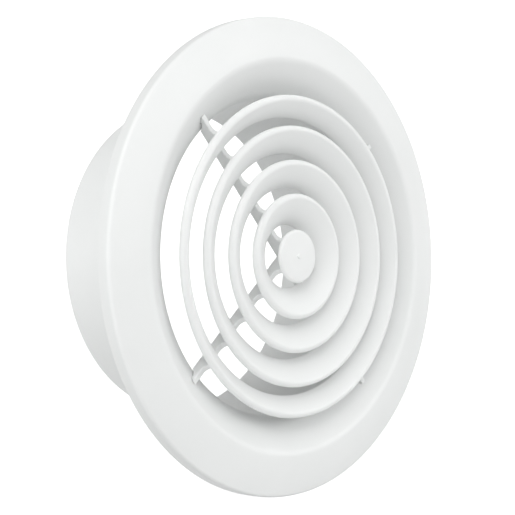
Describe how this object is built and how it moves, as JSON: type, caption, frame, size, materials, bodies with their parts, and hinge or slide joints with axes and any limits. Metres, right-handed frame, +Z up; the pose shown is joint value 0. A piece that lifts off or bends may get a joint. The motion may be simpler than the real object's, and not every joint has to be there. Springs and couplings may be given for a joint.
{
  "type": "round ring-louvre duct grille",
  "caption": "Round white passive extract grille: domed face flange, funnel throat, duct spigot and a lift-out core of ring louvres on crossed struts.",
  "frame": {"origin": "centre of the flange's flat back edge, in the wall plane, on the duct axis", "axes": "+Y along the duct axis from the room into the wall, +Z up, +X to the right as seen from the room"},
  "size_m": [0.146, 0.051, 0.146],
  "materials": {
    "white_shell": "satin moulded",
    "white_core": "satin moulded",
    "seal_foam": "closed-cell foam"
  },
  "bodies": {
    "housing": {"front_flange": "white_shell", "throat_funnel": "white_shell", "duct_spigot": "white_shell", "flange_ribs": "white_shell", "tab_sockets": "white_shell", "foam_seal": "seal_foam"},
    "louvre_core": {"outer_louvre_ring": "white_core", "second_louvre_ring": "white_core", "third_louvre_ring": "white_core", "inner_louvre_ring": "white_core", "centre_disc": "white_core", "hub_boss": "white_core", "strut_top_right": "white_core", "strut_top_left": "white_core", "strut_bottom_left": "white_core", "strut_bottom_right": "white_core", "push_tab_top_right": "white_core", "push_tab_top_left": "white_core", "push_tab_bottom_left": "white_core", "push_tab_bottom_right": "white_core"}
  },
  "joints": [
    {"name": "core_pull", "type": "slide", "parent": "housing", "child": "louvre_core", "axis": [0, -1, 0], "range_m": [0, 0.04]}
  ]
}
